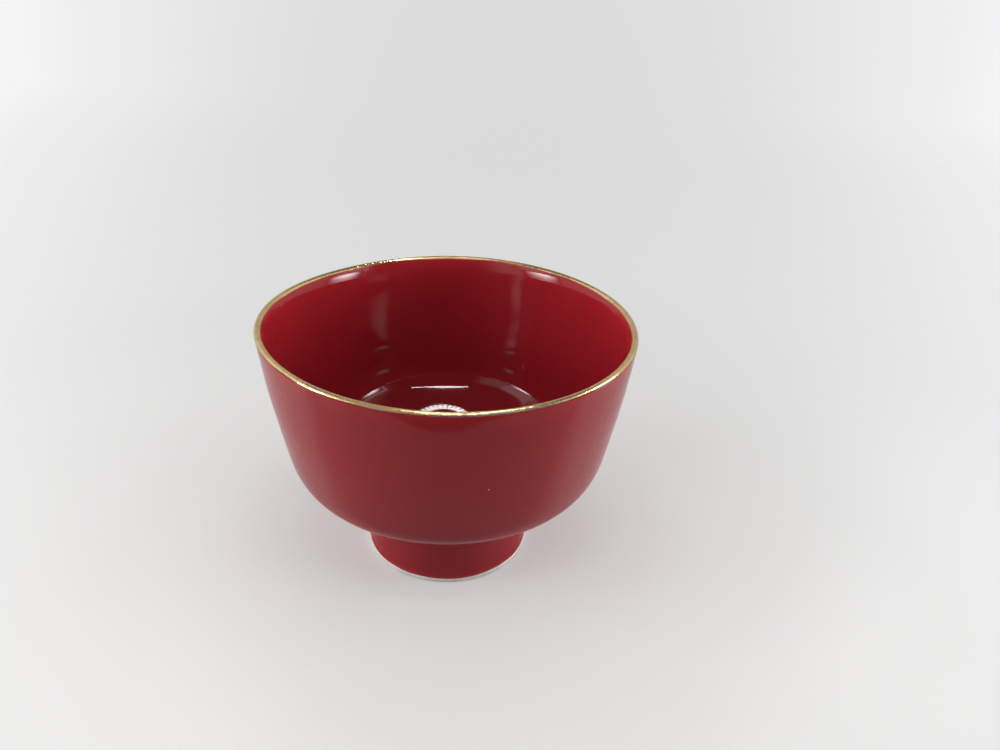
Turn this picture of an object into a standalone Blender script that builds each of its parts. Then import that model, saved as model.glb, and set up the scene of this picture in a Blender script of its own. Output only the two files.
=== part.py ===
"""Porcelain bowl: red glaze inside and out, a gilt lip, and a tall foot with a bare standing edge.

Each layer of the bowl is its own turned piece. They all follow one outline of the finished bowl,
which runs from the foot up the outside, over the lip and down the inside to the middle of the floor.
Metres, +Z up, with the origin on the axis, in the plane that the bowl stands on.
"""

import math

import bmesh
import bpy
from mathutils import Vector
from mathutils.geometry import interpolate_bezier

# Outside of the finished bowl
HEIGHT = 0.0848
LIP_RADIUS = 0.0600
BELLY_RADIUS = 0.0532
BELLY_HEIGHT = 0.0428
WALL_BOW = 0.0006
BELLY_TURN_IN = 0.0057
BELLY_TURN_DROP = 0.0103
UNDERSIDE_BOW = 0.0004

# Foot ring
FOOT_RADIUS = 0.0280
FOOT_FLARE = 0.0004
FOOT_NECK_HEIGHT = 0.0140
CREASE_REACH = 0.0025
CREASE_RISE = 0.0058
SEAT_RISE = 0.0032
STANDING_WIDTH = 0.0036
STANDING_BEVEL = 0.0009
BARE_EDGE_HEIGHT = 0.0019
RECESS_DRAFT = 0.0015
RECESS_FILLET = 0.0030

# Thickness of the porcelain under its layers
PORCELAIN_AT_LIP = 0.0010
PORCELAIN_AT_FLARE = 0.0014
PORCELAIN_AT_BELLY = 0.0025
PORCELAIN_AT_CREASE = 0.0036
PORCELAIN_FLOOR = 0.0042

# Layers on the porcelain, and the clearance between neighbouring pieces
LAYER = 0.0004
CLEARANCE = 0.0003
COAT = LAYER + CLEARANCE

# Lip, and where the inside opens out to it and turns in to the floor
LIP_ROUND_OUTSIDE = 0.0012
LIP_ROUND_INSIDE = 0.0010
LIP_FLARE_LEAN = math.radians(27.0)
FLARE_DROP = 0.0075
GILT_DROP = 0.0017
WELL_RISE = 0.0062

# Swing of the hand-formed lip off a true circle: lobes, metres and phase in degrees
LIP_WAVES = ((3, 0.00046, -177.0), (4, 0.00026, -13.0), (5, 0.00010, 119.0))

# Colours, as linear red, green and blue
WHITE = (0.80, 0.78, 0.74)
BARE_WHITE = (0.78, 0.75, 0.70)
RED = (0.29, 0.010, 0.0155)
GOLD = (0.72, 0.50, 0.24)

# Facets
TURN_STEPS = 52
CURVE_HANDLE = 0.36
SHARP_ANGLE = math.radians(40.0)
MERGE_DISTANCE = 0.00001

UP = Vector((0.0, 0.0, 1.0))
INWARD = Vector((-1.0, 0.0, 0.0))


def at(radius, height):
    """A point of a profile, which lies in the XZ plane."""
    return Vector((radius, 0.0, height))


def left_of(way):
    """The direction square to a way along the outline, into the bowl's material."""
    return Vector((-way.z, 0.0, way.x))


def span(start, way_out, end, way_in, steps):
    """Points on a smooth curve after its start, leaving and arriving in the given directions."""
    reach = CURVE_HANDLE * (end - start).length
    points = interpolate_bezier(start, start + way_out * reach, end - way_in * reach, end, steps + 1)
    return points[1:-1] + [end]


def inset(points, depth):
    """The line that runs at a depth under a line of points, with a point on the axis kept there."""
    normals = [left_of((b - a).normalized()) for a, b in zip(points, points[1:])]
    last = normals[-1]
    after = Vector((-last.x, 0.0, last.z)) if points[-1].x == 0.0 else last
    before = [normals[0]] + normals
    behind = normals + [after]
    return [p + depth * (n + m) / (1.0 + n.dot(m)) for p, n, m in zip(points, before, behind)]


def crossing(points, height):
    """The index of the first point above a height, and the place where the line crosses it."""
    above = next(i for i, p in enumerate(points) if p.z > height)
    low, high = points[above - 1], points[above]
    return above, low.lerp(high, (height - low.z) / (high.z - low.z))


# Places on the finished outline

def foot_point(height):
    """The foot's outer face, which flares to the standing edge."""
    return at(FOOT_RADIUS - FOOT_FLARE * height / FOOT_NECK_HEIGHT, height)


def wall_point(height):
    """The wall's outer face, from the belly to the lip."""
    share = (height - BELLY_HEIGHT) / (HEIGHT - BELLY_HEIGHT)
    bow = 4.0 * WALL_BOW * share * (1.0 - share)
    return at(BELLY_RADIUS + (LIP_RADIUS - BELLY_RADIUS) * share + bow, height)


def wall_way(height):
    """The direction up the wall's outer face."""
    share = (height - BELLY_HEIGHT) / (HEIGHT - BELLY_HEIGHT)
    run = LIP_RADIUS - BELLY_RADIUS + 4.0 * WALL_BOW * (1.0 - 2.0 * share)
    return at(run, HEIGHT - BELLY_HEIGHT).normalized()


FOOT_NECK = foot_point(FOOT_NECK_HEIGHT)
CREASE_END = FOOT_NECK + at(CREASE_REACH, CREASE_RISE)
BELLY_TOP = wall_point(BELLY_HEIGHT)
BELLY_END = BELLY_TOP - at(BELLY_TURN_IN, BELLY_TURN_DROP)
SEAT_HEIGHT = FOOT_NECK_HEIGHT + SEAT_RISE
FLOOR_HEIGHT = SEAT_HEIGHT + PORCELAIN_FLOOR + COAT
GILT_EDGE = HEIGHT - GILT_DROP


def underside_ways():
    """The directions up the bowed underside, at the crease and at the belly."""
    chord = BELLY_END - CREASE_END
    bulge = left_of(chord.normalized()) * 4.0 * UNDERSIDE_BOW
    return (chord - bulge).normalized(), (chord + bulge).normalized()


def outside_points():
    """Up the outside, from the glaze line at the foot to the glaze's end under the gilt lip."""
    foot_way = (FOOT_NECK - foot_point(0.0)).normalized()
    crease_way, belly_way = underside_ways()
    top = GILT_EDGE - CLEARANCE
    points = [foot_point(BARE_EDGE_HEIGHT + CLEARANCE), FOOT_NECK]
    points += span(FOOT_NECK, foot_way, CREASE_END, crease_way, steps=4)
    points += span(CREASE_END, crease_way, BELLY_END, belly_way, steps=3)
    points += span(BELLY_END, belly_way, BELLY_TOP, wall_way(BELLY_HEIGHT), steps=5)
    points += span(BELLY_TOP, wall_way(BELLY_HEIGHT), wall_point(top), wall_way(top), steps=4)
    return points


def lip_points():
    """Over the lip, from the gilt's outer edge to its inner edge."""
    shoulder = HEIGHT - LIP_ROUND_OUTSIDE
    outer = wall_point(shoulder)
    thickness = PORCELAIN_AT_LIP + 2.0 * COAT
    inner = at(outer.x - thickness, HEIGHT - LIP_ROUND_INSIDE)
    crown = at(0.5 * (outer.x + inner.x), HEIGHT)
    points = [wall_point(GILT_EDGE), outer]
    points += span(outer, wall_way(shoulder), crown, INWARD, steps=3)
    points += span(crown, INWARD, inner, flare_way(), steps=3)
    return points


def flare_way():
    """The direction down the inside where it opens out to the lip."""
    return at(-math.sin(LIP_FLARE_LEAN), -math.cos(LIP_FLARE_LEAN))


def behind_wall(point, way, porcelain):
    """The place on the inside across the porcelain and both its layers from a place outside."""
    return point + left_of(way) * (porcelain + 2.0 * COAT)


def inside_points(gilt_end):
    """Down the inside, from just under the gilt to the middle of the floor."""
    crease_way, belly_way = underside_ways()
    start = gilt_end + flare_way() * CLEARANCE
    flare_height = HEIGHT - FLARE_DROP
    well_height = BELLY_HEIGHT + WELL_RISE
    flare = behind_wall(wall_point(flare_height), wall_way(flare_height), PORCELAIN_AT_FLARE)
    well = behind_wall(wall_point(well_height), wall_way(well_height), PORCELAIN_AT_BELLY)
    belly = behind_wall(BELLY_END, belly_way, PORCELAIN_AT_BELLY)
    floor_edge = behind_wall(CREASE_END, crease_way, PORCELAIN_AT_CREASE)
    centre = at(0.0, FLOOR_HEIGHT)
    belly_turn = (floor_edge - well).normalized()
    floor_turn = (at(0.5 * floor_edge.x, FLOOR_HEIGHT) - floor_edge).normalized()
    points = [start]
    points += span(start, flare_way(), flare, -wall_way(flare_height), steps=3)
    points += span(flare, -wall_way(flare_height), well, -wall_way(well_height), steps=3)
    points += span(well, -wall_way(well_height), belly, belly_turn, steps=3)
    points += span(belly, belly_turn, floor_edge, floor_turn, steps=3)
    points += span(floor_edge, floor_turn, centre, INWARD, steps=2)
    return points


OUTSIDE = outside_points()
LIP = lip_points()
INSIDE = inside_points(LIP[-1])
OUTLINE = OUTSIDE + LIP + INSIDE
LAYER_BACK = inset(OUTLINE, LAYER)
PORCELAIN_FACE = inset(OUTLINE, COAT)
LIP_START = len(OUTSIDE)
INSIDE_START = LIP_START + len(LIP)


# Sections of the pieces, each a closed loop or a line from the axis to the axis

def layer_section(first, stop):
    """A layer on the porcelain: a stretch of the finished outline, and its back."""
    return OUTLINE[first:stop] + LAYER_BACK[first:stop][::-1]


def porcelain_section():
    """The bowl's wall and floor, from the seat of the foot ring over the lip to the axis."""
    above, corner = crossing(PORCELAIN_FACE, SEAT_HEIGHT)
    return [at(0.0, SEAT_HEIGHT), corner] + PORCELAIN_FACE[above:]


def recess_point(height):
    """The recess's finished side, which draws in from the standing edge to its ceiling."""
    ceiling = SEAT_HEIGHT - COAT
    return at(FOOT_RADIUS - STANDING_WIDTH - RECESS_DRAFT * height / ceiling, height)


def foot_section():
    """The foot ring: its seat under the bowl, its outer face, the bare edge and its inner face."""
    top = SEAT_HEIGHT - CLEARANCE
    above, corner = crossing(PORCELAIN_FACE, top)
    outer = foot_point(BARE_EDGE_HEIGHT)
    inner = recess_point(BARE_EDGE_HEIGHT)
    bevel_outer = foot_point(STANDING_BEVEL)
    bevel_inner = recess_point(STANDING_BEVEL)
    step = at(COAT, 0.0)
    bevel = at(STANDING_BEVEL, STANDING_BEVEL)
    section = [recess_point(top) + step, corner] + PORCELAIN_FACE[:above][::-1]
    section += [outer - step, outer, bevel_outer, bevel_outer - bevel]
    section += [bevel_inner + at(STANDING_BEVEL, -STANDING_BEVEL), bevel_inner, inner, inner + step]
    return section


def recess_section():
    """The glaze in the recess: its ceiling and side, with glaze pooled round the corner."""
    ceiling = SEAT_HEIGHT - COAT
    end = recess_point(BARE_EDGE_HEIGHT + CLEARANCE)
    turn = recess_point(ceiling - RECESS_FILLET)
    ledge = recess_point(ceiling) + RECESS_FILLET * INWARD
    back = at(LAYER, 0.0)
    section = [at(0.0, ceiling), ledge]
    section += span(ledge, -INWARD, turn, -UP, steps=3)
    section += [end, end + back, recess_point(ceiling + LAYER) + back, at(0.0, ceiling + LAYER)]
    return section


# Turning

def lip_swing(angle):
    """How far the hand-formed lip stands off a true circle, at an angle round the bowl."""
    return sum(swing * math.cos(lobes * angle - math.radians(phase)) for lobes, swing, phase in LIP_WAVES)


def hand_formed(point):
    """A turned point moved by the lip's swing, which fades out down the wall to the belly."""
    rise = min(max((point.z - BELLY_HEIGHT) / (HEIGHT - BELLY_HEIGHT), 0.0), 1.0)
    fade = rise * rise * (3.0 - 2.0 * rise)
    flat = Vector((point.x, point.y, 0.0))
    if flat.length == 0.0:
        return point
    return point + flat.normalized() * fade * lip_swing(math.atan2(point.y, point.x))


def turned(name, section, material, parent):
    """A piece made by spinning a section round the axis, with the lip's swing put in."""
    bm = bmesh.new()
    corners = [bm.verts.new(p) for p in section]
    for a, b in zip(corners, corners[1:]):
        bm.edges.new((a, b))
    if section[0].x > 0.0:
        bm.edges.new((corners[-1], corners[0]))
    profile = bm.verts[:] + bm.edges[:]
    bmesh.ops.spin(bm, geom=profile, axis=UP, angle=2.0 * math.pi, steps=TURN_STEPS)
    bmesh.ops.remove_doubles(bm, verts=bm.verts[:], dist=MERGE_DISTANCE)
    for vert in bm.verts:
        vert.co = hand_formed(vert.co)
    bmesh.ops.recalc_face_normals(bm, faces=bm.faces[:])
    mesh = bpy.data.meshes.new(name)
    bm.to_mesh(mesh)
    bm.free()
    mesh.shade_smooth()
    mesh.set_sharp_from_angle(angle=SHARP_ANGLE)
    mesh.materials.append(material)
    piece = bpy.data.objects.new(name, mesh)
    piece.parent = parent
    bpy.context.collection.objects.link(piece)
    return piece


def finish(name, colour, roughness, metallic):
    """A plain surface finish."""
    material = bpy.data.materials.new(name)
    material.use_nodes = True
    shader = material.node_tree.nodes["Principled BSDF"]
    shader.inputs["Base Color"].default_value = (*colour, 1.0)
    shader.inputs["Roughness"].default_value = roughness
    shader.inputs["Metallic"].default_value = metallic
    return material


def build():
    for old in list(bpy.data.objects):
        bpy.data.objects.remove(old, do_unlink=True)
    stand = bpy.data.objects.new("bowl", None)
    bpy.context.collection.objects.link(stand)

    bowl_white = finish("white_porcelain", WHITE, roughness=0.45, metallic=0.0)
    foot_white = finish("bare_porcelain", BARE_WHITE, roughness=0.65, metallic=0.0)
    outside_red = finish("red_glaze_outside", RED, roughness=0.08, metallic=0.0)
    inside_red = finish("red_glaze_inside", RED, roughness=0.06, metallic=0.0)
    recess_red = finish("red_glaze_recess", RED, roughness=0.10, metallic=0.0)
    gold = finish("gold_lustre", GOLD, roughness=0.22, metallic=1.0)

    turned("porcelain_bowl", porcelain_section(), bowl_white, stand)
    turned("foot_ring", foot_section(), foot_white, stand)
    turned("outside_glaze", layer_section(0, LIP_START), outside_red, stand)
    turned("gilt_lip", layer_section(LIP_START, INSIDE_START), gold, stand)
    turned("inside_glaze", layer_section(INSIDE_START, len(OUTLINE)), inside_red, stand)
    turned("recess_glaze", recess_section(), recess_red, stand)


build()
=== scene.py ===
import math

import bmesh
import bpy
import numpy as np
from mathutils import Matrix, Vector


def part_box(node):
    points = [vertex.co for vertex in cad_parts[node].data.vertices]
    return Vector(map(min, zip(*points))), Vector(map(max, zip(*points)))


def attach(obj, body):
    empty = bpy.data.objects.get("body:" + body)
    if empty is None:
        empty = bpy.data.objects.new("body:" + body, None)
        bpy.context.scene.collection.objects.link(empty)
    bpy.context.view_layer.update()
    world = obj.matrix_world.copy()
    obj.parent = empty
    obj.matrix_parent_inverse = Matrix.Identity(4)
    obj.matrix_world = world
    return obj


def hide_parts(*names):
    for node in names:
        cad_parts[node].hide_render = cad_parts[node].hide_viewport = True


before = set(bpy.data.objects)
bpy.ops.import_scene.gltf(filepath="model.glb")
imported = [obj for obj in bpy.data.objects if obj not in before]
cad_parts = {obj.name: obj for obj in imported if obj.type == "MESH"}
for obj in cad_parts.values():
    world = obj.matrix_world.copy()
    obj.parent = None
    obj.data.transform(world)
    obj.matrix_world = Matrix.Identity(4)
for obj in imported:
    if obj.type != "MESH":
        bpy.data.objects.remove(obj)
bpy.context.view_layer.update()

# Outside of the finished bowl, in metres, as in the part's source
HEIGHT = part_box("gilt_lip")[1].z
LIP_RADIUS = 0.0600
BELLY_RADIUS = 0.0532
BELLY_HEIGHT = 0.0428
WALL_BOW = 0.0006
BELLY_TURN = np.array((0.0057, 0.0103))
UNDERSIDE_BOW = 0.0004

# Foot ring
FOOT_RADIUS = 0.0280
FOOT_FLARE = 0.0004
FOOT_NECK_HEIGHT = 0.0140
CREASE = np.array((0.0025, 0.0058))
SEAT_HEIGHT = FOOT_NECK_HEIGHT + 0.0032
STANDING_WIDTH = 0.0036
STANDING_ROUND = 0.0009
BARE_EDGE_HEIGHT = 0.0019
# Height of the painted contact shadow at the bottom of the bare standing edge
CONTACT_SHADE_HEIGHT = 0.0006
RECESS_DRAFT = 0.0015
RECESS_FILLET = 0.0030

# Porcelain under its layers, and the layers
PORCELAIN_AT_LIP = 0.0008
PORCELAIN_AT_FLARE = 0.0017
PORCELAIN_AT_BELLY = 0.0028
PORCELAIN_AT_CREASE = 0.0036
PORCELAIN_FLOOR = 0.0042
LAYER = 0.0004
CLEARANCE = 0.0003
COAT = LAYER + CLEARANCE

# Lip
LIP_ROUND_OUTSIDE = 0.0012
LIP_ROUND_INSIDE = 0.0010
LIP_FLARE_LEAN = math.radians(27.0)
FLARE_DROP = 0.0075
WELL_RISE = 0.0062
LIP_WAVES = ((3, 0.00046, -177.0), (4, 0.00026, -13.0), (5, 0.00010, 119.0))

# Gold: how far it comes down outside and inside, how far it stands proud, and its hand-brushed edges
GILT_DROP_OUTSIDE = 0.0009
GILT_STOP_INSIDE = 0.00045
GILT_PROUD = 0.00004
GILT_OVER_GLAZE = 0.00001
GILT_WAVES = (
    (1, 0.00045, 100.0), (2, 0.00008, 40.0), (5, 0.00008, 200.0), (11, 0.00006, 75.0), (23, 0.00004, 310.0),
)
GILT_WAVES_INSIDE = (
    (1, 0.00030, 90.0), (2, 0.00020, 0.0), (5, 0.00008, 80.0), (11, 0.00006, 320.0), (23, 0.00004, 190.0),
)
GILT_LINE_DROP = 0.004

# Glaze: the bead at the foot, ribs at the foot's joint by height, width and depth, how far from its ends
# it thins, and how far the surface strays from true
BEAD = 0.00010
BEAD_RISE = 0.0012
JOINT_RIBS = ((0.0141, 0.00030, 0.00016), (0.0152, 0.00030, 0.00014))
BEAD_WAVES = ((2, 0.00014, 15.0), (5, 0.00009, 160.0), (9, 0.00006, 260.0), (17, 0.00003, 20.0))
TURNING_RINGS = ((0.0031, 0.0000035), (0.0083, 0.000012))
HAND_WAVES = ((2, 0.00004, 120.0), (3, 0.00003, 30.0), (7, 0.00001, 250.0))
STRAY_FADE = 0.008
STRAY_TWIST = 9.0
RING_SWAY = 2.0
THIN_AT_FOOT = 0.0016
THIN_AT_LIP = 0.0052
THIN_INSIDE = 0.0040

# Facets
TURN_STEPS = 192
GILT_STEPS = 320
GILT_LINE_STEPS = 11
GILT_SHARES = 30
GILT_BACK_SKIP = 3
SHARP_ANGLE = math.radians(50.0)
MERGE_DISTANCE = 0.0000005
DISSOLVE_DISTANCE = 0.0000001
CURVE_HANDLE = 0.36
BACK_SKIP = 6

# Colours, as linear red, green and blue
RED = (0.290, 0.0100, 0.0155)
RED_DEEP = (0.262, 0.0085, 0.0135)
RED_THIN = (0.340, 0.0200, 0.0220)
# Painted light: the inside reds are lighter than the same glaze outside, standing in for more light inside the
# bowl
RED_INSIDE_LIT = (0.312, 0.0125, 0.0195)
RED_INSIDE_DEEP_LIT = (0.284, 0.0108, 0.0172)
# Darker red painted on the foot, as shade under the belly
RED_FOOT_SHADE = (0.215, 0.0080, 0.0125)
FLECK = (0.62, 0.36, 0.36)
GOLD = (0.90, 0.62, 0.26)
GOLD_PALE = (1.00, 0.74, 0.38)
GOLD_METALLIC = 0.82
# Painted dark reflection on the gold at the front and back: its colour, metal share, and the spans where it
# fades in
GOLD_DARK_REFLECTION = (0.40, 0.22, 0.085)
GOLD_DARK_REFLECTION_METALLIC = 0.10
GOLD_DARK_REFLECTION_FRONT = (0.0490, 0.0585)
GOLD_DARK_REFLECTION_BACK = (0.0520, 0.0575)
GOLD_WORN = (0.42, 0.20, 0.085)
BARE_WHITE = (0.66, 0.63, 0.58)
BARE_GREY = (0.54, 0.50, 0.46)
# Painted contact shadow at the bottom of the standing edge
BARE_CONTACT_SHADE = (0.12, 0.10, 0.085)
PORCELAIN_WHITE = (0.80, 0.78, 0.74)
PORCELAIN_CREAM = (0.74, 0.71, 0.66)
FLOOR_PALE = (0.860, 0.860, 0.848)
FLOOR_COOL = (0.842, 0.842, 0.832)
FLOOR_FRONT = (0.10, 0.10, 0.10)
# Painted red bounce light on the floor near the foot, which only glossy rays see
FLOOR_RED_BOUNCE = (1.0, 0.58, 0.61)

# Surfaces: the spans of noise that show, shares, and depths in metres
NOISE_SPAN = (0.3, 0.7)
GRAIN_SPAN = (0.35, 0.65)
GRAIN_MOST = 0.10
GLAZE_THINNED = (0.35, 0.85)
WEAR_SPAN = (0.3, 0.6)
GOLD_WEAR = (0.2, 0.9)
# Noise span and shares for the flecks of painted dark reflection on the gold
DARK_REFLECTION_SPAN = (0.38, 0.56)
DARK_REFLECTION_FLECKS = (1.0, 0.35)
GLAZE_IOR = 1.5
GLOSS_SPREAD = 0.025
PEEL_DEPTH = 0.000006
PEEL_SWELL = 0.00003
FLECK_CORE = 0.4
GOLD_ROUGHNESS = (0.03, 0.09)
GOLD_BRUSH_DEPTH = 0.00009
# Share of the contact shadow's height where it is darkest
CONTACT_SHADE_CORE = 0.2
WARE_SPREAD = 0.06
WARE_GRAIN_DEPTH = 0.00003

INWARD = np.array((-1.0, 0.0))
UPWARD = np.array((0.0, 1.0))


# Profiles, as radius and height

def at(radius, height):
    return np.array((radius, height))


def unit(way):
    return way / np.linalg.norm(way)


def left_of(way):
    return np.array((-way[1], way[0]))


def span(start, way_out, end, way_in, steps):
    """A smooth curve after its start, leaving and arriving in the given directions."""
    reach = CURVE_HANDLE * np.linalg.norm(end - start)
    a = start + way_out * reach
    b = end - way_in * reach
    t = np.linspace(0.0, 1.0, steps + 1)[1:, None]
    s = 1.0 - t
    return s ** 3 * start + 3 * s * s * t * a + 3 * s * t * t * b + t ** 3 * end


def straight(start, end, steps):
    t = np.linspace(0.0, 1.0, steps + 1)[1:, None]
    return start + (end - start) * t


def normals(line):
    """The direction into the bowl's material at each point of a line along the outline."""
    ways = np.gradient(line, axis=0)
    ways /= np.linalg.norm(ways, axis=1)[:, None]
    return np.stack((-ways[:, 1], ways[:, 0]), axis=1)


def inset(line, depth):
    moved = line + normals(line) * depth
    moved[line[:, 0] == 0.0, 0] = 0.0
    return moved


def foot_point(height):
    return at(FOOT_RADIUS - FOOT_FLARE * height / FOOT_NECK_HEIGHT, height)


def wall_share(height):
    return (height - BELLY_HEIGHT) / (HEIGHT - BELLY_HEIGHT)


def wall_point(height):
    share = wall_share(height)
    bow = 4.0 * WALL_BOW * share * (1.0 - share)
    return at(BELLY_RADIUS + (LIP_RADIUS - BELLY_RADIUS) * share + bow, height)


def wall_way(height):
    run = LIP_RADIUS - BELLY_RADIUS + 4.0 * WALL_BOW * (1.0 - 2.0 * wall_share(height))
    return unit(at(run, HEIGHT - BELLY_HEIGHT))


FOOT_NECK = foot_point(FOOT_NECK_HEIGHT)
CREASE_END = FOOT_NECK + CREASE
BELLY_TOP = wall_point(BELLY_HEIGHT)
BELLY_END = BELLY_TOP - BELLY_TURN
FLOOR_HEIGHT = SEAT_HEIGHT + PORCELAIN_FLOOR + COAT
SHOULDER = HEIGHT - LIP_ROUND_OUTSIDE
FLARE_WAY = np.array((-math.sin(LIP_FLARE_LEAN), -math.cos(LIP_FLARE_LEAN)))


def underside_ways():
    chord = BELLY_END - CREASE_END
    bulge = left_of(unit(chord)) * 4.0 * UNDERSIDE_BOW
    return unit(chord - bulge), unit(chord + bulge)


def outside_line():
    """Up the outside, from the glaze line at the foot to the lip's shoulder."""
    foot_way = unit(FOOT_NECK - foot_point(0.0))
    crease_way, belly_way = underside_ways()
    start = foot_point(BARE_EDGE_HEIGHT)
    bead_end = foot_point(BARE_EDGE_HEIGHT + BEAD_RISE)
    parts = [start[None]]
    parts.append(straight(start, bead_end, steps=8))
    parts.append(straight(bead_end, FOOT_NECK, steps=10))
    parts.append(span(FOOT_NECK, foot_way, CREASE_END, crease_way, steps=48))
    parts.append(span(CREASE_END, crease_way, BELLY_END, belly_way, steps=14))
    parts.append(span(BELLY_END, belly_way, BELLY_TOP, wall_way(BELLY_HEIGHT), steps=16))
    heights = np.linspace(BELLY_HEIGHT, SHOULDER, 29)[1:]
    parts.append(np.array([wall_point(z) for z in heights]))
    return np.concatenate(parts)


def lip_line():
    """Over the lip, from its shoulder to where the inside opens out."""
    outer = wall_point(SHOULDER)
    inner = at(outer[0] - PORCELAIN_AT_LIP - 2.0 * COAT, HEIGHT - LIP_ROUND_INSIDE)
    crown = at(0.5 * (outer[0] + inner[0]), HEIGHT)
    parts = [outer[None]]
    parts.append(span(outer, wall_way(SHOULDER), crown, INWARD, steps=16))
    parts.append(span(crown, INWARD, inner, FLARE_WAY, steps=16))
    return np.concatenate(parts)


def behind_wall(point, way, porcelain):
    return point + left_of(way) * (porcelain + 2.0 * COAT)


def inside_line(start):
    """Down the inside, from the lip to the middle of the floor."""
    crease_way, belly_way = underside_ways()
    flare_height = HEIGHT - FLARE_DROP
    well_height = BELLY_HEIGHT + WELL_RISE
    flare_end = -wall_way(flare_height)
    well_way = -wall_way(well_height)
    flare = behind_wall(wall_point(flare_height), -flare_end, PORCELAIN_AT_FLARE)
    well = behind_wall(wall_point(well_height), -well_way, PORCELAIN_AT_BELLY)
    belly = behind_wall(BELLY_END, belly_way, PORCELAIN_AT_BELLY)
    floor_edge = behind_wall(CREASE_END, crease_way, PORCELAIN_AT_CREASE)
    centre = at(0.0, FLOOR_HEIGHT)
    belly_turn = unit(floor_edge - well)
    floor_turn = unit(at(0.5 * floor_edge[0], FLOOR_HEIGHT) - floor_edge)
    begin = start + FLARE_WAY * CLEARANCE
    parts = [start[None], begin[None]]
    parts.append(span(begin, FLARE_WAY, flare, flare_end, steps=18))
    parts.append(span(flare, flare_end, well, well_way, steps=24))
    parts.append(span(well, well_way, belly, belly_turn, steps=18))
    parts.append(span(belly, belly_turn, floor_edge, floor_turn, steps=18))
    parts.append(span(floor_edge, floor_turn, centre, INWARD, steps=14))
    return np.concatenate(parts)


OUTSIDE = outside_line()
LIP = lip_line()
INSIDE = inside_line(LIP[-1])


def cumulative(line):
    steps = np.linalg.norm(np.diff(line, axis=0), axis=1)
    return np.concatenate(([0.0], np.cumsum(steps)))


def recess_point(height):
    ceiling = SEAT_HEIGHT - COAT
    return at(FOOT_RADIUS - STANDING_WIDTH - RECESS_DRAFT * height / ceiling, height)


# Turning

def waves(angles, table):
    """A sum of slow swings round the bowl: lobes, metres and phase in degrees."""
    return sum(a * np.cos(n * angles - math.radians(p)) for n, a, p in table)


def swung(radius, height, angles):
    """The radius of a turned point with the hand-formed lip's swing put in."""
    rise = np.clip(wall_share(height), 0.0, 1.0)
    fade = rise * rise * (3.0 - 2.0 * rise)
    return radius + fade * waves(angles, LIP_WAVES)


def turn_angles(steps):
    return np.arange(steps) * (2.0 * math.pi / steps)


def strayed(line, angles, rings):
    """Radius and height of a glazed face at each angle, straying a little from true below the gold."""
    radius = np.repeat(line[None, :, 0], len(angles), axis=0)
    height = np.repeat(line[None, :, 1], len(angles), axis=0)
    spin = angles[:, None]
    out = -normals(line)
    stray = waves(spin + STRAY_TWIST * height / HEIGHT, HAND_WAVES)
    if rings:
        sway = RING_SWAY * np.sin(spin)
        stray = stray + sum(a * np.sin(2.0 * math.pi * height / p + sway) for p, a in TURNING_RINGS)
    below_gold = np.clip((SHOULDER - height) / STRAY_FADE, 0.0, 1.0)
    fade = np.clip(radius / LIP_RADIUS, 0.0, 1.0) * below_gold
    radius = radius + out[None, :, 0] * stray * fade
    height = height + out[None, :, 1] * stray * fade
    return radius, height


def turned(name, radius, height, angles, shares=None):
    """A closed mesh from the loops of a section at each angle, where radius and height are loops by row."""
    steps, loop = radius.shape
    spin = angles[:, None]
    radius = np.maximum(swung(radius, height, spin), 0.0)
    points = np.stack((radius * np.cos(spin), radius * np.sin(spin), height), axis=-1).reshape(-1, 3)
    row = np.arange(steps)[:, None]
    column = np.arange(loop)[None, :]
    after = (row + 1) % steps
    ahead = (column + 1) % loop
    corners = (row * loop + column, after * loop + column, after * loop + ahead, row * loop + ahead)
    quads = np.stack(corners, axis=-1)
    mesh = bpy.data.meshes.new(name)
    mesh.from_pydata(points.tolist(), [], quads.reshape(-1, 4).tolist())
    if shares is not None:
        layer = mesh.attributes.new("edge_share", "FLOAT", "POINT")
        layer.data.foreach_set("value", shares.astype(np.float32).ravel())
    return cleaned(name, mesh)


def cleaned(name, mesh):
    """The object for a turned mesh, with the points on the axis merged and its faces turned outwards."""
    bm = bmesh.new()
    bm.from_mesh(mesh)
    bmesh.ops.remove_doubles(bm, verts=bm.verts[:], dist=MERGE_DISTANCE)
    bmesh.ops.dissolve_degenerate(bm, edges=bm.edges[:], dist=DISSOLVE_DISTANCE)
    bmesh.ops.recalc_face_normals(bm, faces=bm.faces[:])
    bm.to_mesh(mesh)
    bm.free()
    mesh.shade_smooth()
    mesh.set_sharp_from_angle(angle=SHARP_ANGLE)
    piece = bpy.data.objects.new(name, mesh)
    bpy.context.scene.collection.objects.link(piece)
    return piece


def with_back(radius, height, line):
    """A layer's loop: its face at each angle, then its back, with fewer points."""
    back = inset(line, LAYER)[::-1]
    keep = np.unique(np.concatenate((np.arange(0, len(back), BACK_SKIP), [len(back) - 1])))
    back = back[keep]
    steps = len(radius)
    radius = np.concatenate((radius, np.repeat(back[None, :, 0], steps, axis=0)), axis=1)
    height = np.concatenate((height, np.repeat(back[None, :, 1], steps, axis=0)), axis=1)
    return radius, height


def near_ends(line, first, last):
    """How close each point of a line lies to its two ends, from 0 to 1 within a reach of each."""
    run = cumulative(line)
    start = np.clip(1.0 - run / first, 0.0, 1.0) if first > 0.0 else np.zeros(len(run))
    end = np.clip(1.0 - (run[-1] - run) / last, 0.0, 1.0) if last > 0.0 else np.zeros(len(run))
    return np.maximum(start, end)


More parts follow.
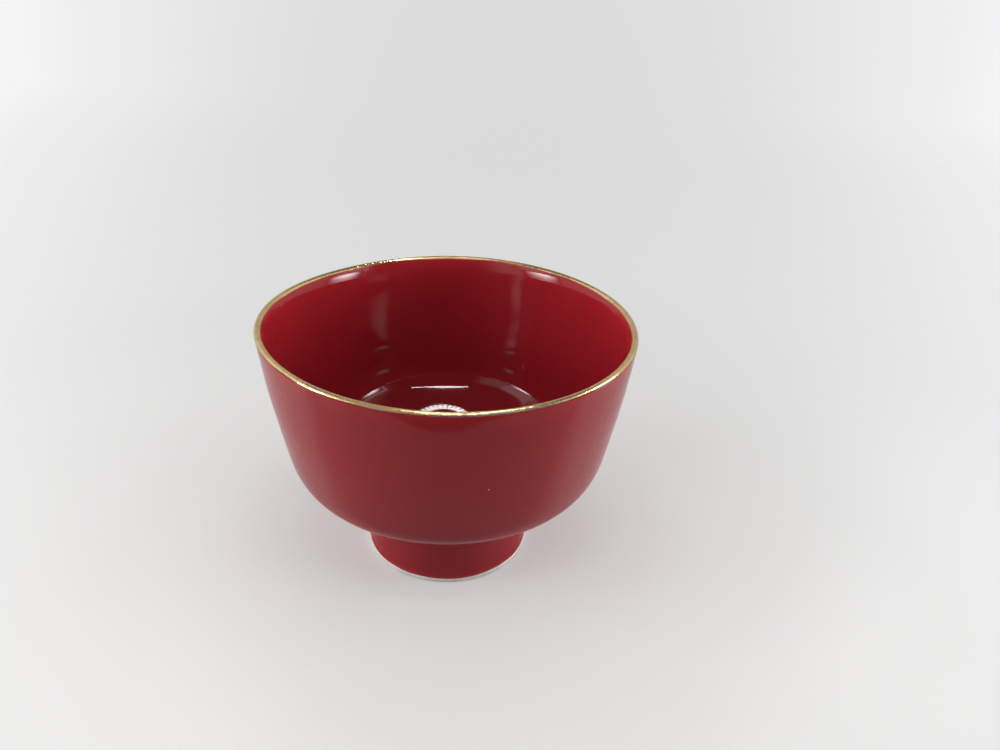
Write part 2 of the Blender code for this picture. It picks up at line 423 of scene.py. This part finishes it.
def make_outside_glaze():
    """The glaze outside: a bead at its wavy end on the foot, and its top under the gold."""
    angles = turn_angles(TURN_STEPS)
    line = np.concatenate((OUTSIDE, LIP[1:5]))
    radius, height = strayed(line, angles, rings=True)
    run = cumulative(line)
    share = np.clip(1.0 - run / BEAD_RISE, 0.0, 1.0)
    swell = BEAD * np.sin(math.pi * np.sqrt(share)) * (share > 0.0)
    ribs = sum(h * np.exp(-((line[:, 1] - z) / w) ** 2) for z, w, h in JOINT_RIBS)
    radius = radius + (swell + ribs)[None]
    height = height + share[None] ** 2 * waves(angles[:, None], BEAD_WAVES)
    shares = near_ends(line, THIN_AT_FOOT, THIN_AT_LIP)
    face = len(line)
    radius, height = with_back(radius, height, line)
    tone = np.zeros(radius.shape)
    tone[:, :face] = shares[None]
    return turned("outside_glaze_fired", radius, height, angles, tone)


def make_inside_glaze():
    """The glaze inside, from under the gold to the middle of the floor."""
    angles = turn_angles(TURN_STEPS)
    line = np.concatenate((LIP[-15:-1], INSIDE))
    radius, height = strayed(line, angles, rings=False)
    shares = near_ends(line, THIN_INSIDE, 0.0)
    face = len(line)
    radius, height = with_back(radius, height, line)
    tone = np.zeros(radius.shape)
    tone[:, :face] = shares[None]
    return turned("inside_glaze_fired", radius, height, angles, tone)


def make_gilt_lip():
    """The gold: a film over the lip whose two edges wander as a brush does."""
    angles = turn_angles(GILT_STEPS)
    way_down = wall_way(SHOULDER)
    below = LIP[0] - way_down * np.linspace(GILT_LINE_DROP, 0.0, GILT_LINE_STEPS + 1)[:-1, None]
    line = np.concatenate((below, LIP, INSIDE[1:14]))
    run = cumulative(line)
    shoulder = run[GILT_LINE_STEPS]
    inner = run[GILT_LINE_STEPS + len(LIP) - 1]
    first = shoulder + LIP_ROUND_OUTSIDE - GILT_DROP_OUTSIDE - waves(angles, GILT_WAVES)
    last = inner - GILT_STOP_INSIDE + waves(angles, GILT_WAVES_INSIDE)
    share = np.linspace(0.0, 1.0, GILT_SHARES)
    places = first[:, None] + (last - first)[:, None] * share[None]
    front = line - normals(line) * GILT_PROUD
    back = line - normals(line) * GILT_OVER_GLAZE
    face_radius = np.interp(places, run, front[:, 0])
    face_height = np.interp(places, run, front[:, 1])
    rear = places[:, ::-GILT_BACK_SKIP]
    radius = np.concatenate((face_radius, np.interp(rear, run, back[:, 0])), axis=1)
    height = np.concatenate((face_height, np.interp(rear, run, back[:, 1])), axis=1)
    edge = np.clip(np.abs(2.0 * share - 1.0) * 5.0 - 4.0, 0.0, 1.0)
    tone = np.zeros(radius.shape)
    tone[:, :len(share)] = edge[None]
    return turned("gilt_lip_brushed", radius, height, angles, tone)


def make_foot_ring():
    """The foot ring: hidden faces under the glaze, and a bare, softly rounded standing edge."""
    angles = turn_angles(TURN_STEPS)
    top = SEAT_HEIGHT - CLEARANCE
    cover = inset(OUTSIDE, COAT)
    above = int(np.argmax(cover[:, 1] > top))
    rise = (top - cover[above - 1, 1]) / (cover[above, 1] - cover[above - 1, 1])
    corner = cover[above - 1] + (cover[above] - cover[above - 1]) * rise
    step = at(0.5 * COAT, 0.0)
    outer = foot_point(BARE_EDGE_HEIGHT)
    inner = recess_point(BARE_EDGE_HEIGHT)
    low_outer = foot_point(STANDING_ROUND)
    low_inner = recess_point(STANDING_ROUND)
    flat_outer = at(low_outer[0] - STANDING_ROUND, 0.0)
    flat_inner = at(low_inner[0] + STANDING_ROUND, 0.0)
    parts = [(recess_point(top) + 2.0 * step)[None], corner[None]]
    parts.append(cover[:above][::-1][::4])
    parts.append((outer + at(-COAT, BEAD_RISE))[None])
    parts.append((outer - 0.4 * step + at(0.0, 0.5 * BEAD_RISE))[None])
    parts.append(straight(outer, low_outer, steps=3))
    parts.append(span(low_outer, -UPWARD, flat_outer, INWARD, steps=6))
    parts.append(straight(flat_outer, flat_inner, steps=6))
    parts.append(span(flat_inner, INWARD, low_inner, UPWARD, steps=6))
    parts.append(straight(low_inner, inner, steps=3))
    parts.append((inner + 2.0 * step + at(0.0, BEAD_RISE))[None])
    line = np.concatenate(parts)
    radius = np.repeat(line[None, :, 0], TURN_STEPS, axis=0)
    height = np.repeat(line[None, :, 1], TURN_STEPS, axis=0)
    return turned("foot_ring_fettled", radius, height, angles)


def make_recess_glaze():
    """The glaze in the recess under the foot, pooled round the corner of its ceiling."""
    angles = turn_angles(TURN_STEPS)
    ceiling = SEAT_HEIGHT - COAT
    end = recess_point(BARE_EDGE_HEIGHT)
    turn = recess_point(ceiling - RECESS_FILLET)
    ledge = recess_point(ceiling) + RECESS_FILLET * INWARD
    parts = [at(0.0, ceiling)[None], straight(at(0.0, ceiling), ledge, steps=10)]
    parts.append(span(ledge, -INWARD, turn, -UPWARD, steps=12))
    parts.append(straight(turn, end, steps=10))
    face = np.concatenate(parts)
    back = at(LAYER, 0.0)
    rear = np.array((end + back, recess_point(ceiling + LAYER) + back, at(0.0, ceiling + LAYER)))
    line = np.concatenate((face, rear))
    radius = np.repeat(line[None, :, 0], TURN_STEPS, axis=0)
    height = np.repeat(line[None, :, 1], TURN_STEPS, axis=0)
    share = near_ends(face, 0.0, BEAD_RISE)
    height[:, :len(face)] += share[None] ** 2 * waves(angles[:, None] + 1.3, BEAD_WAVES)
    tone = np.zeros(radius.shape)
    tone[:, :len(face)] = near_ends(face, 0.0, THIN_AT_FOOT)[None]
    return turned("recess_glaze_fired", radius, height, angles, tone)


# Materials

class Tree:
    """A node tree, with short ways to add and join nodes."""

    def __init__(self, tree):
        self.tree = tree

    def join(self, source, socket):
        if isinstance(source, bpy.types.NodeSocket):
            self.tree.links.new(source, socket)
        else:
            socket.default_value = source

    def ranged(self, source, low, high, to_low, to_high, smooth=False):
        node = self.tree.nodes.new("ShaderNodeMapRange")
        node.interpolation_type = "SMOOTHSTEP" if smooth else "LINEAR"
        for name, value in zip(("From Min", "From Max", "To Min", "To Max"), (low, high, to_low, to_high)):
            node.inputs[name].default_value = value
        self.join(source, node.inputs["Value"])
        return node.outputs["Result"]

    def math(self, operation, a, b=0.0):
        node = self.tree.nodes.new("ShaderNodeMath")
        node.operation = operation
        self.join(a, node.inputs[0])
        self.join(b, node.inputs[1])
        return node.outputs[0]

    def split(self, source):
        """The X, Y and Z of a place or direction."""
        node = self.tree.nodes.new("ShaderNodeSeparateXYZ")
        self.join(source, node.inputs[0])
        return node.outputs["X"], node.outputs["Y"], node.outputs["Z"]

    def blended(self, share, a, b):
        node = self.tree.nodes.new("ShaderNodeMix")
        self.join(share, node.inputs["Factor"])
        self.join(a, node.inputs["A"])
        self.join(b, node.inputs["B"])
        return node.outputs["Result"]


class Nodes(Tree):
    """A material's node tree, with the bowl's own coordinates and its main shader."""

    def __init__(self, name):
        self.material = bpy.data.materials.new(name)
        self.material.use_nodes = True
        super().__init__(self.material.node_tree)
        self.shader = self.tree.nodes["Principled BSDF"]
        self.place = self.tree.nodes.new("ShaderNodeTexCoord").outputs["Object"]

    def noise(self, size, detail=2.0):
        """Noise with features of about a size in metres."""
        node = self.tree.nodes.new("ShaderNodeTexNoise")
        node.inputs["Scale"].default_value = 1.0 / size
        node.inputs["Detail"].default_value = detail
        self.join(self.place, node.inputs["Vector"])
        return node.outputs["Fac"]

    def varied(self, size, low, high, detail=2.0):
        """A value that wanders between two others with noise of about a size."""
        return self.ranged(self.noise(size, detail), *NOISE_SPAN, low, high)

    def mixed(self, share, a, b):
        node = self.tree.nodes.new("ShaderNodeMix")
        node.data_type = "RGBA"
        self.join(share, node.inputs["Factor"])
        self.join((*a, 1.0) if isinstance(a, tuple) else a, node.inputs["A"])
        self.join((*b, 1.0) if isinstance(b, tuple) else b, node.inputs["B"])
        return node.outputs["Result"]

    def attribute(self, name):
        node = self.tree.nodes.new("ShaderNodeAttribute")
        node.attribute_name = name
        return node.outputs["Fac"]

    def distance_to(self, point):
        node = self.tree.nodes.new("ShaderNodeVectorMath")
        node.operation = "DISTANCE"
        self.join(self.place, node.inputs[0])
        node.inputs[1].default_value = point
        return node.outputs["Value"]

    def bump(self, source, depth, normal=None):
        node = self.tree.nodes.new("ShaderNodeBump")
        node.inputs["Strength"].default_value = 1.0
        node.inputs["Distance"].default_value = depth
        self.join(source, node.inputs["Height"])
        if normal is not None:
            self.join(normal, node.inputs["Normal"])
        return node.outputs["Normal"]


def on_wall(angle, height):
    """A place on the outer wall, at an angle in degrees."""
    point = wall_point(height)
    spin = math.radians(angle)
    return point[0] * math.cos(spin), point[0] * math.sin(spin), height


def glaze(name, gloss, tones=(RED_DEEP, RED), foot=None, flecks=()):
    """Glossy red glaze: it varies a little in tone, thins over edges, is painted darker over the foot as shade
    under the belly, and has a faint orange peel."""
    n = Nodes(name)
    colour = n.mixed(n.varied(0.035, 0.0, 1.0, detail=3.0), *tones)
    # Painted shade: the foot, under the belly, is darkened up to the crease
    if foot:
        height = n.split(n.place)[2]
        colour = n.mixed(n.ranged(height, *foot, 1.0, 0.0, smooth=True), colour, RED_FOOT_SHADE)
    grain = n.ranged(n.noise(0.0009, detail=1.0), *GRAIN_SPAN, 0.0, GRAIN_MOST)
    colour = n.mixed(grain, colour, RED_THIN)
    thin = n.math("MULTIPLY", n.attribute("edge_share"), n.varied(0.006, *GLAZE_THINNED))
    colour = n.mixed(thin, colour, RED_THIN)
    for point, size in flecks:
        spot = n.ranged(n.distance_to(point), FLECK_CORE * size, size, 1.0, 0.0, smooth=True)
        colour = n.mixed(spot, colour, FLECK)
    n.join(colour, n.shader.inputs["Base Color"])
    n.join(n.varied(0.012, gloss, gloss + GLOSS_SPREAD), n.shader.inputs["Roughness"])
    peel = n.bump(n.noise(0.0042, detail=1.0), PEEL_DEPTH)
    n.join(n.bump(n.noise(0.021, detail=1.0), PEEL_SWELL, peel), n.shader.inputs["Normal"])
    n.shader.inputs["IOR"].default_value = GLAZE_IOR
    return n.material


def gold_lustre():
    """Brushed-on gold: uneven in tone and gloss, worn thin along its edges, and painted darker and less
    metallic, in flecks at the front and all over the back, as a painted dark reflection."""
    n = Nodes("gold_lustre_brushed")
    colour = n.mixed(n.varied(0.004, 0.0, 1.0, detail=3.0), GOLD, GOLD_PALE)
    wear = n.math("MULTIPLY", n.attribute("edge_share"), n.ranged(n.noise(0.0015), *WEAR_SPAN, *GOLD_WEAR))
    colour = n.mixed(wear, colour, GOLD_WORN)
    ahead = n.split(n.place)[1]
    front = n.ranged(n.math("MULTIPLY", ahead, -1.0), *GOLD_DARK_REFLECTION_FRONT, 0.0, 1.0, smooth=True)
    back = n.ranged(ahead, *GOLD_DARK_REFLECTION_BACK, 0.0, 1.0, smooth=True)
    flecks = n.ranged(n.noise(0.0009), *DARK_REFLECTION_SPAN, *DARK_REFLECTION_FLECKS)
    # Painted dark reflection: the gold is darker and duller in flecks at the front and all over the back
    dark_reflection = n.math("MAXIMUM", n.math("MULTIPLY", front, flecks), back)
    colour = n.mixed(dark_reflection, colour, GOLD_DARK_REFLECTION)
    metal = n.ranged(dark_reflection, 0.0, 1.0, GOLD_METALLIC, GOLD_DARK_REFLECTION_METALLIC)
    n.join(metal, n.shader.inputs["Metallic"])
    n.join(colour, n.shader.inputs["Base Color"])
    n.join(n.varied(0.0022, *GOLD_ROUGHNESS), n.shader.inputs["Roughness"])
    n.join(n.bump(n.noise(0.0008), GOLD_BRUSH_DEPTH), n.shader.inputs["Normal"])
    return n.material


def white_ware(name, light, dark, rough, grain, contact_shade=0.0):
    """Fired white ware: a faint mottle and a fine dry grain, darkened up to a height where it stands as painted
    contact shadow.
    """
    n = Nodes(name)
    colour = n.mixed(n.varied(0.003, 0.0, 1.0, detail=4.0), light, dark)
    # Painted contact shadow: darker towards the bottom where it stands
    if contact_shade:
        height = n.split(n.place)[2]
        contact_shaded = n.ranged(height, CONTACT_SHADE_CORE * contact_shade, contact_shade, 1.0, 0.0, smooth=True)
        colour = n.mixed(contact_shaded, colour, BARE_CONTACT_SHADE)
    n.join(colour, n.shader.inputs["Base Color"])
    n.join(n.varied(0.0012, rough - WARE_SPREAD, rough + WARE_SPREAD), n.shader.inputs["Roughness"])
    n.join(n.bump(n.noise(grain, detail=3.0), WARE_GRAIN_DEPTH), n.shader.inputs["Normal"])
    return n.material


# Stage

FLOOR_SIZE = 60.0
FLOOR_ROUGHNESS = (0.65, 0.75)
FLOOR_NEAR = 0.10
FLOOR_FAR = 0.30
# Share of the floor near the bowl that the camera sees as glow, lifting the bowl's shadow as painted light
FLOOR_SHADOW_LIFT = 0.30
FLOOR_GLOW = (0.700, 0.675)
FLOOR_GLOW_FADE = (0.3, 0.9)
FLOOR_NEAREST = 0.13
FLOOR_ASIDE = (0.75, 1.50)
SIDE_GLOW = 0.60
SIDE_GLOW_MOST = 0.20
SIDE_GLOW_SHARE = (0.2, 1.0)
SIDE_GLOW_FADE = (0.2, 1.2)
LEFT_GLOW = 0.075
LEFT_GLOW_FADE = (-0.60, -0.15)
RIGHT_GLOW = 0.05
RIGHT_GLOW_FADE = (0.30, 0.65)
FLOOR_IN_GLAZE = 0.75
FLOOR_SHADE = (-0.055, -0.025)
FLOOR_SHADED = 0.62
FLOOR_DIM = 0.15
FLOOR_DIM_START = (-0.034, -0.022)
FLOOR_BY_FOOT = (0.036, 0.056)
FLOOR_BY_FOOT_DIM = 0.45
FLOOR_RED_BOUNCE_FADE = (0.045, 0.075)
FLOOR_FRONT_EDGE = -0.138
FLOOR_EDGE_SOFT = 0.004
SKY_SHOWN = 0.715
SKY_FRONT = 0.08
SKY_LEFT = 1.30
SKY_RIGHT = 1.15
SKY_BACK = 0.65
SKY_TOP = 0.09
SKY_IN_GLAZE = 0.50
SKY_LOW_LEFT = 4.2
SKY_LOW_RIGHT = 5.6
SKY_LOW_ENDS = (8.0, 16.0)
SKY_FRONT_WAY = 160.0
SKY_SIDES_SPAN = (-0.4, 0.4)
SKY_BACK_SPAN = (0.4, 0.9)
SKY_FRONT_SPAN = (0.60, 0.82)
SKY_LOW_SPAN = (0.5, 0.9)
WALLS_END = (36.0, 46.0)

# Soft lamps either side, which nothing mirrors: bearing in degrees from the back, distance,
# width, bottom, top and radiance
SOFT_LAMPS = (
    ("left_lamp", -107.0, 0.45, 0.22, 0.03, 0.305, 7.4),
    ("right_lamp", 96.0, 0.45, 0.19, 0.03, 0.195, 9.0),
    ("right_upper_lamp", 86.0, 0.45, 0.20, 0.195, 0.285, 5.0),
)
# Faint walls behind them, which only the glaze and the gold mirror, given the same way
WALLS = (
    ("left_wall", -113.0, 0.46, 0.27, 0.32, 0.50, 1.2),
    ("right_wall", 99.0, 0.46, 0.23, 0.24, 0.42, 1.5),
)
# Mirrored lamps: bearing, distance, how far they reach to either side of their brightest line, where
# that line lies, bottom, start of the climb, brightest height, top, then the radiance low down and at most
MIRRORED_LAMPS = (
    ("left_glint", -109.0, 0.30, 0.100, 0.070, 0.000, 0.03, 0.090, 0.213, 0.231, 3.0, 18.0),
    ("right_glint", 92.5, 0.172, 0.048, 0.032, 0.008, 0.03, 0.085, 0.145, 0.178, 4.0, 18.0),
)
STRIP_LED = (0.0100, 0.0070)
RING_LED = (0.0100, 0.0280)
STRIP_ENDS = ((-0.064, -0.176, 0.340), (0.183, -0.165, 0.340))
STRIP_COUNT = 22
RING_CENTRE = (0.019, -0.018, 0.340)
RING_RADIUS = 0.0655
RING_COUNT = 28
STRIP_RADIANCE = 30.0
RING_RADIANCE = 26.0
OVERHEAD_PLACE = (0.0, 0.0, 0.60)
OVERHEAD_SIZE = (0.30, 0.30)
OVERHEAD_RADIANCE = 1.4
BOWL_MIDDLE = Vector((0.0, 0.0, 0.05))

CAMERA_PLACE = (0.01666, -0.23348, 0.18799)
CAMERA_PITCH = math.radians(27.729)
CAMERA_ROLL = math.radians(2.589)
CAMERA_LENS = 28.8
SENSOR_WIDTH = 36.0
CAMERA_CLIP = (0.01, 20.0)


def make_floor():
    """A plain pale sheet. The camera sees its far part as a pale background, and near the bowl partly as glow
    that lifts the bowl's shadow as painted light.
    The glaze mirrors a dimmer sheet, painted pink near the foot as red bounce light, that stops short of the
    camera, and less light bounces off it by the bowl."""
    mesh = bpy.data.meshes.new("floor")
    half = 0.5 * FLOOR_SIZE
    corners = [(-half, -half, 0), (half, -half, 0), (half, half, 0), (-half, half, 0)]
    mesh.from_pydata(corners, [], [(0, 1, 2, 3)])
    floor = bpy.data.objects.new("floor", mesh)
    bpy.context.scene.collection.objects.link(floor)
    n = Nodes("pale_sheet")
    path = n.tree.nodes.new("ShaderNodeLightPath")
    seen = path.outputs["Is Camera Ray"]
    unseen = n.math("SUBTRACT", 1.0, seen)
    across, ahead, _ = n.split(n.place)
    depth = n.math("SUBTRACT", ahead, CAMERA_PLACE[1])
    beyond = n.math("MAXIMUM", depth, FLOOR_NEAREST)
    aside = n.math("DIVIDE", n.math("SUBTRACT", across, CAMERA_PLACE[0]), beyond)
    shown = n.math("MULTIPLY", n.ranged(depth, 0.0, FLOOR_NEAREST, 0.0, 1.0, smooth=True),
                   n.ranged(n.math("ABSOLUTE", aside), *FLOOR_ASIDE, 1.0, 0.0, smooth=True))
    side_glow = n.math("MULTIPLY", n.math("MULTIPLY", aside, aside), SIDE_GLOW)
    side_glow = n.math("MULTIPLY", side_glow, n.ranged(depth, *SIDE_GLOW_FADE, *SIDE_GLOW_SHARE))
    side_glow = n.math("MULTIPLY", n.math("MINIMUM", side_glow, SIDE_GLOW_MOST), shown)
    low, high = FLOOR_FRONT_EDGE - FLOOR_EDGE_SOFT, FLOOR_FRONT_EDGE + FLOOR_EDGE_SOFT
    front = n.ranged(ahead, low, high, 1.0, 0.0, smooth=True)
    away = n.distance_to((0.0, 0.0, 0.0))
    # Painted light: near the bowl, part of the floor the camera sees is glow, which lifts the bowl's shadow
    far = n.math("MULTIPLY", n.ranged(away, FLOOR_NEAR, FLOOR_FAR, FLOOR_SHADOW_LIFT, 1.0, smooth=True), seen)
    glow = n.math("ADD", n.ranged(depth, *FLOOR_GLOW_FADE, *FLOOR_GLOW, smooth=True), side_glow)
    colour = n.mixed(n.varied(0.09, 0.0, 1.0, detail=4.0), FLOOR_PALE, FLOOR_COOL)
    glossy = path.outputs["Is Glossy Ray"]
    mirrored = n.math("MULTIPLY", glossy, 1.0 - FLOOR_IN_GLAZE)
    # Painted red bounce light: glossy rays see the floor pink near the foot
    red_bounce = n.math("MULTIPLY", glossy, n.ranged(away, *FLOOR_RED_BOUNCE_FADE, 1.0, 0.0, smooth=True))
    colour = n.mixed(red_bounce, colour, FLOOR_RED_BOUNCE)
    dim = n.ranged(ahead, *FLOOR_DIM_START, 1.0 - FLOOR_DIM, 0.0, smooth=True)
    dim = n.math("MAXIMUM", dim, n.ranged(away, *FLOOR_BY_FOOT, 1.0 - FLOOR_BY_FOOT_DIM, 0.0, smooth=True))
    shade = n.blended(glossy, dim, n.ranged(ahead, *FLOOR_SHADE, 1.0 - FLOOR_SHADED, 0.0, smooth=True))
    shade = n.math("MULTIPLY", shade, unseen)
    colour = n.mixed(shade, colour, (0.0, 0.0, 0.0))
    colour = n.mixed(mirrored, colour, (0.0, 0.0, 0.0))
    colour = n.mixed(n.math("MULTIPLY", front, unseen), colour, FLOOR_FRONT)
    colour = n.mixed(far, colour, (0.0, 0.0, 0.0))
    n.join(colour, n.shader.inputs["Base Color"])
    n.join(n.varied(0.02, *FLOOR_ROUGHNESS), n.shader.inputs["Roughness"])
    n.shader.inputs["Emission Color"].default_value = (1.0, 1.0, 1.0, 1.0)
    beside = n.math("ADD", n.ranged(aside, *LEFT_GLOW_FADE, LEFT_GLOW, 0.0, smooth=True),
                    n.ranged(aside, *RIGHT_GLOW_FADE, 0.0, RIGHT_GLOW, smooth=True))
    beside = n.math("MULTIPLY", beside, shown)
    added = n.math("MULTIPLY", n.math("MULTIPLY", beside, n.math("SUBTRACT", 1.0, far)), seen)
    n.join(n.math("ADD", n.math("MULTIPLY", far, glow), added), n.shader.inputs["Emission Strength"])
    mesh.materials.append(n.material)


def make_sky():
    """Soft light from pale walls at the sides and back, with little from the front and from above."""
    world = bpy.data.worlds.new("soft_room")
    bpy.context.scene.world = world
    world.use_nodes = True
    n = Tree(world.node_tree)
    way = n.tree.nodes.new("ShaderNodeTexCoord").outputs["Generated"]
    x, y, z = n.split(way)
    flat = n.math("SQRT", n.math("ADD", n.math("MULTIPLY", x, x), n.math("MULTIPLY", y, y)))
    east = n.math("DIVIDE", x, n.math("MAXIMUM", flat, 0.001))
    north = n.math("DIVIDE", y, n.math("MAXIMUM", flat, 0.001))
    turn = math.radians(SKY_FRONT_WAY)
    toward = n.math("ADD", n.math("MULTIPLY", east, math.sin(turn)), n.math("MULTIPLY", north, math.cos(turn)))
    behind = n.ranged(north, *SKY_BACK_SPAN, 0.0, 1.0, smooth=True)
    level = n.ranged(east, *SKY_SIDES_SPAN, SKY_LEFT, SKY_RIGHT, smooth=True)
    level = n.blended(behind, level, SKY_BACK)
    level = n.blended(n.ranged(toward, *SKY_FRONT_SPAN, 0.0, 1.0, smooth=True), level, SKY_FRONT)
    low, high = (math.sin(math.radians(a)) for a in WALLS_END)
    level = n.blended(n.ranged(z, low, high, 0.0, 1.0, smooth=True), level, SKY_TOP)
    low, high = (math.sin(math.radians(a)) for a in SKY_LOW_ENDS)
    near_floor = n.ranged(z, low, high, 1.0, 0.0, smooth=True)
    beside = n.math("MULTIPLY", n.math("SUBTRACT", 1.0, behind), near_floor)
    west = n.math("MULTIPLY", east, -1.0)
    added = n.math("ADD", n.ranged(east, *SKY_LOW_SPAN, 0.0, SKY_LOW_RIGHT, smooth=True),
                   n.ranged(west, *SKY_LOW_SPAN, 0.0, SKY_LOW_LEFT, smooth=True))
    path = n.tree.nodes.new("ShaderNodeLightPath")
    seen = path.outputs["Is Camera Ray"]
    plain = n.math("ADD", level, n.math("MULTIPLY", beside, added))
    dimmed = n.math("MULTIPLY", level, SKY_IN_GLAZE)
    level = n.blended(path.outputs["Is Glossy Ray"], plain, dimmed)
    n.join(n.blended(seen, level, SKY_SHOWN), n.tree.nodes["Background"].inputs["Strength"])
    n.tree.nodes["Background"].inputs["Color"].default_value = (1.0, 1.0, 1.0, 1.0)


def shining(name, radiance, low=None, heights=None):
    """A light's surface. With heights, its radiance climbs from low to full and fades at the top, and
    it fades to both sides of the middle of its first coordinate."""
    material = bpy.data.materials.new(name)
    material.use_nodes = True
    n = Tree(material.node_tree)
    n.tree.nodes.remove(n.tree.nodes["Principled BSDF"])
    glow = n.tree.nodes.new("ShaderNodeEmission")
    n.join(glow.outputs[0], n.tree.nodes["Material Output"].inputs["Surface"])
    glow.inputs["Strength"].default_value = radiance
    if heights:
        across, _, up = n.split(n.tree.nodes.new("ShaderNodeTexCoord").outputs["Object"])
        left, right, start, brightest, top = heights
        climb = n.math("POWER", n.ranged(up, start, brightest, 0.0, 1.0), 2.0)
        level = n.blended(climb, low, radiance)
        level = n.math("MULTIPLY", level, n.ranged(up, brightest, top, 1.0, 0.0, smooth=True))
        level = n.math("MULTIPLY", level, n.ranged(across, -left, 0.0, 0.0, 1.0, smooth=True))
        level = n.math("MULTIPLY", level, n.ranged(across, 0.0, right, 1.0, 0.0, smooth=True))
        n.join(level, glow.inputs["Strength"])
    return material


def lit_faces(name, faces, material, soft=True, mirrored=True):
    """A light made of flat four-sided faces, which the camera doesn't see. One that isn't soft only
    shows as a highlight, and one that isn't mirrored shows none."""
    points = [p for face in faces for p in face]
    quads = [tuple(range(4 * i, 4 * i + 4)) for i in range(len(faces))]
    mesh = bpy.data.meshes.new(name)
    mesh.from_pydata(points, [], quads)
    mesh.materials.append(material)
    light = bpy.data.objects.new(name, mesh)
    light.visible_camera = False
    light.visible_diffuse = soft
    light.visible_shadow = soft
    light.visible_glossy = mirrored
    bpy.context.scene.collection.objects.link(light)
    return light


def facing(centre, along, size):
    """A small face at a place, turned to the bowl, with its first size along a direction."""
    out = (BOWL_MIDDLE - centre).normalized()
    across = out.cross(along).normalized()
    along = across.cross(out).normalized()
    a = along * 0.5 * size[0]
    b = across * 0.5 * size[1]
    return (centre - a - b, centre + a - b, centre + a + b, centre - a + b)


def upright(name, bearing, away, width, bottom, top, radiance, soft, mirrored):
    """An upright light that faces the bowl's axis."""
    turn = math.radians(bearing)
    middle = Vector((math.sin(turn), math.cos(turn), 0.0)) * away
    side = Vector((math.cos(turn), -math.sin(turn), 0.0)) * 0.5 * width
    lift, rise = Vector((0.0, 0.0, bottom)), Vector((0.0, 0.0, top))
    face = (middle - side + lift, middle + side + lift, middle + side + rise, middle - side + rise)
    lit_faces(name, [face], shining(name, radiance), soft, mirrored)


def make_lights():
    """Tall lamps either side, a row of small lights above the camera, and a ring and a fill overhead."""
    for lamp in SOFT_LAMPS:
        upright(*lamp, soft=True, mirrored=False)
    for wall in WALLS:
        upright(*wall, soft=False, mirrored=True)
    for name, bearing, away, left, right, line, bottom, start, brightest, top, low, radiance in MIRRORED_LAMPS:
        face = ((-left, 0.0, bottom), (right, 0.0, bottom), (right, 0.0, top), (-left, 0.0, top))
        material = shining(name, radiance, low, (left, right, start, brightest, top))
        light = lit_faces(name, [face], material, soft=False)
        turn = math.radians(bearing)
        light.location = (
            math.sin(turn) * away + math.cos(turn) * line,
            math.cos(turn) * away - math.sin(turn) * line,
            0.0,
        )
        light.rotation_euler = (0.0, 0.0, -turn)
    led = shining("strip_led", STRIP_RADIANCE)
    first, last = (Vector(end) for end in STRIP_ENDS)
    places = [first.lerp(last, (i + 0.5) / STRIP_COUNT) for i in range(STRIP_COUNT)]
    lit_faces("front_strip", [facing(p, last - first, STRIP_LED) for p in places], led)
    ring = []
    for i in range(RING_COUNT):
        turn = 2.0 * math.pi * i / RING_COUNT
        spoke = Vector((math.cos(turn), math.sin(turn), 0.0))
        along = Vector((-spoke.y, spoke.x, 0.0))
        ring.append(facing(Vector(RING_CENTRE) + spoke * RING_RADIUS, along, RING_LED))
    lit_faces("ring", ring, shining("ring_led", RING_RADIANCE), soft=False)
    overhead = facing(Vector(OVERHEAD_PLACE), Vector((1.0, 0.0, 0.0)), OVERHEAD_SIZE)
    lit_faces("overhead", [overhead], shining("overhead_fill", OVERHEAD_RADIANCE), mirrored=False)


def make_camera():
    data = bpy.data.cameras.new("camera")
    data.lens = CAMERA_LENS
    data.sensor_width = SENSOR_WIDTH
    data.sensor_fit = "HORIZONTAL"
    data.clip_start, data.clip_end = CAMERA_CLIP
    camera = bpy.data.objects.new("camera", data)
    turn = Matrix.Rotation(math.radians(90.0) - CAMERA_PITCH, 4, "X") @ Matrix.Rotation(CAMERA_ROLL, 4, "Z")
    camera.matrix_world = Matrix.Translation(CAMERA_PLACE) @ turn
    bpy.context.scene.collection.objects.link(camera)
    bpy.context.scene.camera = camera


# The bowl

def put(piece, node, material):
    piece.data.materials.clear()
    piece.data.materials.append(material)
    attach(piece, "root")
    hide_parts(node)


# Heights over which the painted shade on the foot fades out
FOOT_SHADE_HEIGHTS = (FOOT_NECK_HEIGHT, CREASE_END[1])
FLECKS = ((on_wall(-74.5, 0.0582), 0.00030),)
red_outside = glaze("red_outside", 0.045, foot=FOOT_SHADE_HEIGHTS, flecks=FLECKS)
# Painted light: the inside is the same glaze, given lighter reds
red_inside_lit = glaze("red_inside_lit", 0.035, tones=(RED_INSIDE_DEEP_LIT, RED_INSIDE_LIT))
put(make_outside_glaze(), "outside_glaze", red_outside)
put(make_inside_glaze(), "inside_glaze", red_inside_lit)
put(make_recess_glaze(), "recess_glaze", glaze("red_recess", 0.06))
put(make_gilt_lip(), "gilt_lip", gold_lustre())
bare = white_ware("bare_ware", BARE_WHITE, BARE_GREY, rough=0.65, grain=0.0003, contact_shade=CONTACT_SHADE_HEIGHT)
put(make_foot_ring(), "foot_ring", bare)

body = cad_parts["porcelain_bowl"]
body.data.materials.clear()
body.data.materials.append(white_ware("white_ware", PORCELAIN_WHITE, PORCELAIN_CREAM, rough=0.45, grain=0.0006))

make_floor()
make_sky()
make_lights()
make_camera()
view = bpy.context.scene.view_settings
view.view_transform = "Standard"
